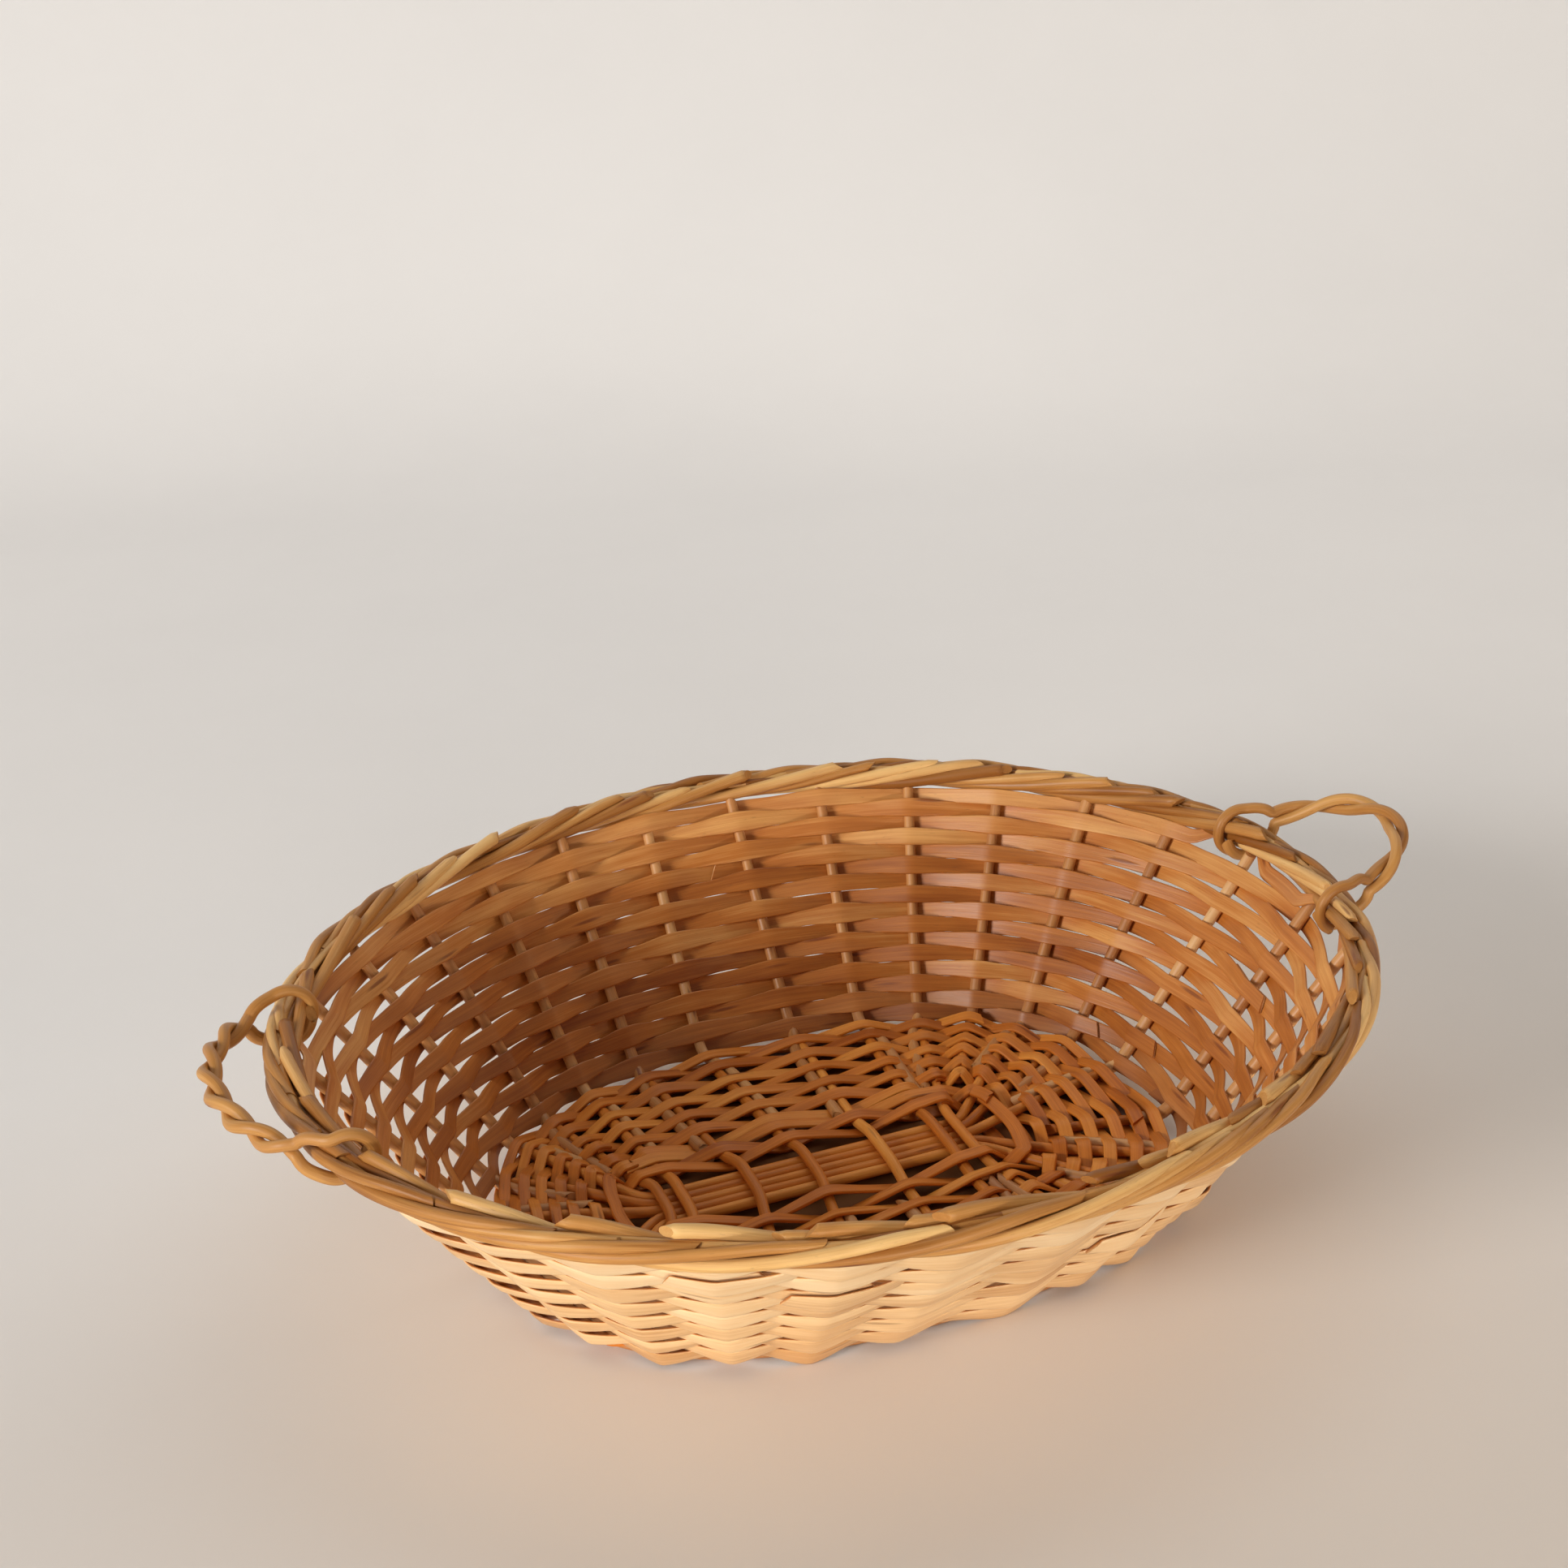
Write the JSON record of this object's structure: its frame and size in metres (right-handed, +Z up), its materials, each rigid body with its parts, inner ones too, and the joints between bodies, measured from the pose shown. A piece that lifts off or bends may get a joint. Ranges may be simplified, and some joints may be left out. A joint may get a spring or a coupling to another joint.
{
  "type": "oval willow basket",
  "caption": "Shallow oval basket woven from willow, with flared openwork sides, a rope-like rod border and two twisted loop handles at the ends.",
  "frame": {"origin": "middle of the base, on the surface that the basket stands on", "axes": "+X along the oval's long axis towards the right handle, +Y across it towards the back, +Z up"},
  "size_m": [0.4539, 0.3458, 0.1092],
  "materials": {
    "base_rod": "satin",
    "base_weaver": "satin",
    "stake_rod": "satin",
    "side_ribbon": "satin",
    "border_rod": "satin",
    "handle_strand": "satin"
  },
  "bodies": {
    "basket": {"base_long_stick_1": "base_rod", "base_long_stick_2": "base_rod", "base_long_stick_3": "base_rod", "base_long_stick_4": "base_rod", "base_long_stick_5": "base_rod", "base_cross_stick_1": "base_rod", "base_cross_stick_2": "base_rod", "base_cross_stick_3": "base_rod", "base_cross_stick_4": "base_rod", "base_cross_stick_5": "base_rod", "base_cross_stick_6": "base_rod", "base_cross_stick_7": "base_rod", "base_corner_sticks": "base_rod", "base_row_01": "base_weaver", "base_row_02": "base_weaver", "base_row_03": "base_weaver", "base_row_04": "base_weaver", "base_row_05": "base_weaver", "base_row_06": "base_weaver", "base_row_07": "base_weaver", "base_row_08": "base_weaver", "base_row_09": "base_weaver", "base_row_10": "base_weaver", "base_row_11": "base_weaver", "base_row_12": "base_weaver", "base_row_13": "base_weaver", "base_edge_band": "base_weaver", "side_stakes_back_left": "stake_rod", "side_stakes_back_right": "stake_rod", "side_stakes_front_right": "stake_rod", "side_stakes_front_left": "stake_rod", "side_row_01": "side_ribbon", "side_row_02": "side_ribbon", "side_row_03": "side_ribbon", "side_row_04": "side_ribbon", "side_row_05": "side_ribbon", "side_row_06": "side_ribbon", "side_row_07": "side_ribbon", "side_row_08": "side_ribbon", "side_row_09": "side_ribbon", "side_row_10": "side_ribbon", "side_row_11": "side_ribbon", "side_row_12": "side_ribbon", "side_row_13": "side_ribbon", "side_row_14": "side_ribbon", "border_rods_back_left": "border_rod", "border_rods_back_right": "border_rod", "border_rods_front_right": "border_rod", "border_rods_front_left": "border_rod"},
    "left_handle": {"left_handle_strand_over": "handle_strand", "left_handle_strand_under": "handle_strand"},
    "right_handle": {"right_handle_strand_over": "handle_strand", "right_handle_strand_under": "handle_strand"}
  },
  "joints": [
    {"name": "left_handle_lift", "type": "hinge", "parent": "basket", "child": "left_handle", "pos_m": [-0.18522, -0.0035, 0.0906], "axis": [-0.0254, 0.9997, 0], "range_deg": [-20, 35]},
    {"name": "right_handle_lift", "type": "hinge", "parent": "basket", "child": "right_handle", "pos_m": [0.18927, -0.003, 0.0906], "axis": [-0.0213, -0.9998, 0], "range_deg": [-33, 22]}
  ]
}
